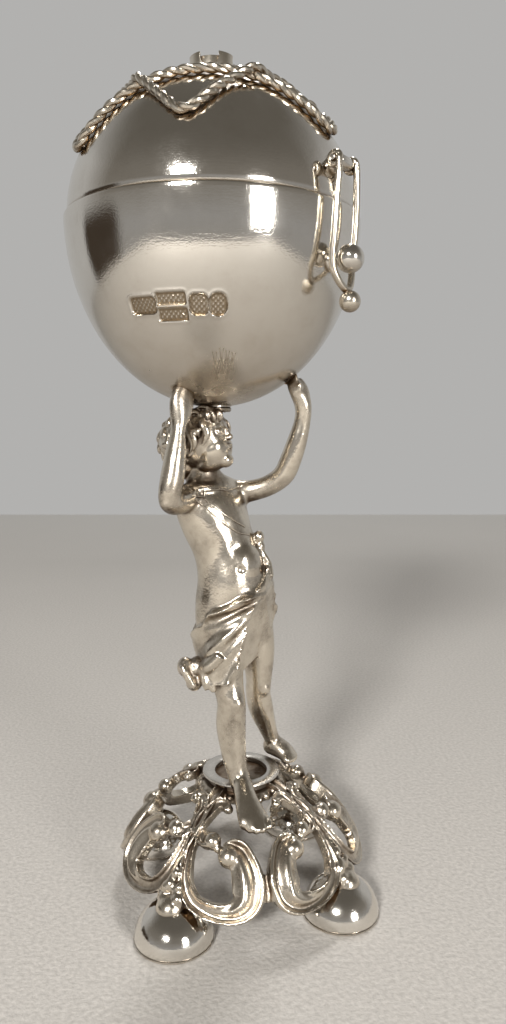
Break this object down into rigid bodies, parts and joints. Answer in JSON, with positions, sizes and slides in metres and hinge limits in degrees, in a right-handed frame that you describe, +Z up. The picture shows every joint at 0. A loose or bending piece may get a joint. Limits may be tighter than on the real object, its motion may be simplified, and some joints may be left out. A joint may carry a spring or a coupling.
{
  "type": "havdalah spice box",
  "caption": "Figural spice box: a boy on an openwork scroll dome holds up a hinged globe, its lid dressed with crossed wire loops, an open collet and a swinging wire hasp.",
  "frame": {"origin": "on the resting plane under the feet, below the middle of the outline", "axes": "+Z up through the figure and the globe, -Y towards the front that the picture shows, +X towards the viewer's right"},
  "size_m": [0.0444, 0.0408, 0.1185],
  "materials": {
    "cast_silver": "cast and lightly tarnished",
    "polished_silver": "mirror polished",
    "wire_silver": "drawn and lightly tarnished",
    "bright_silver": "satin"
  },
  "bodies": {
    "stand": {"base_openwork": "cast_silver", "base_collar": "bright_silver", "foot_front_left": "polished_silver", "foot_front_right": "polished_silver", "foot_rear_right": "polished_silver", "foot_rear_left": "polished_silver", "figure_body": "cast_silver", "figure_right_arm": "cast_silver", "figure_left_arm": "cast_silver", "globe_seat": "cast_silver", "globe_stud": "bright_silver", "globe_washer": "bright_silver", "globe_nut": "bright_silver", "bowl_shell": "polished_silver", "bowl_bezel": "bright_silver", "bowl_knuckle_left": "polished_silver", "bowl_knuckle_right": "polished_silver", "hinge_pin": "bright_silver", "latch_stud": "polished_silver"},
    "lid": {"lid_shell": "polished_silver", "wire_loop_across": "wire_silver", "wire_loop_along": "wire_silver", "finial_collet": "wire_silver", "lid_knuckle": "polished_silver", "hasp_tube": "polished_silver", "hasp_pin": "bright_silver"},
    "hasp": {"hasp_loop": "wire_silver"}
  },
  "joints": [
    {"name": "lid_hinge", "type": "hinge", "parent": "stand", "child": "lid", "pos_m": [-0.01859, 0.01342, 0.097], "axis": [-0.6157, -0.788, 0], "range_deg": [0, 105]},
    {"name": "hasp_hinge", "type": "hinge", "parent": "lid", "child": "hasp", "pos_m": [0.01513, -0.01293, 0.1012], "axis": [-0.6157, -0.788, 0], "range_deg": [-4, 110]}
  ]
}
